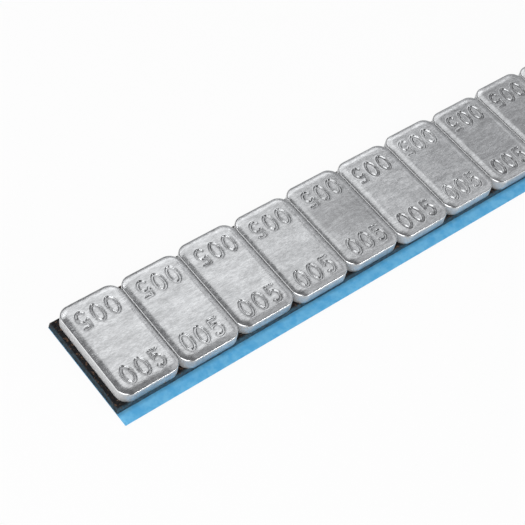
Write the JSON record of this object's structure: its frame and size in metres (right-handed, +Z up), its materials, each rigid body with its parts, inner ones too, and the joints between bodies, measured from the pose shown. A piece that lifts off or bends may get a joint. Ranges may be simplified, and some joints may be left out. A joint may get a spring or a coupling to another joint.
{
  "type": "wheel balance weight",
  "caption": "Adhesive wheel balance weight: a strip of coined steel segments side by side on black foam tape, with a blue release liner that stands out in front as a pull tab.",
  "frame": {"origin": "on the liner's underside, in the middle of the strip's length and on the centre line of the weights", "axes": "+X along the strip, +Y to the rear edge, away from the liner's tab, +Z up out of the weights' tops"},
  "size_m": [0.1524, 0.0233, 0.0038],
  "materials": {
    "zinc_steel": "coined and zinc plated, satin",
    "foam": "closed-cell foam, matt",
    "liner_film": "smooth film, satin"
  },
  "bodies": {
    "root": {"weight_01": "zinc_steel", "weight_02": "zinc_steel", "weight_03": "zinc_steel", "weight_04": "zinc_steel", "weight_05": "zinc_steel", "weight_06": "zinc_steel", "weight_07": "zinc_steel", "weight_08": "zinc_steel", "weight_09": "zinc_steel", "weight_10": "zinc_steel", "weight_11": "zinc_steel", "weight_12": "zinc_steel", "foam_tape": "foam", "release_liner": "liner_film"}
  },
  "joints": []
}
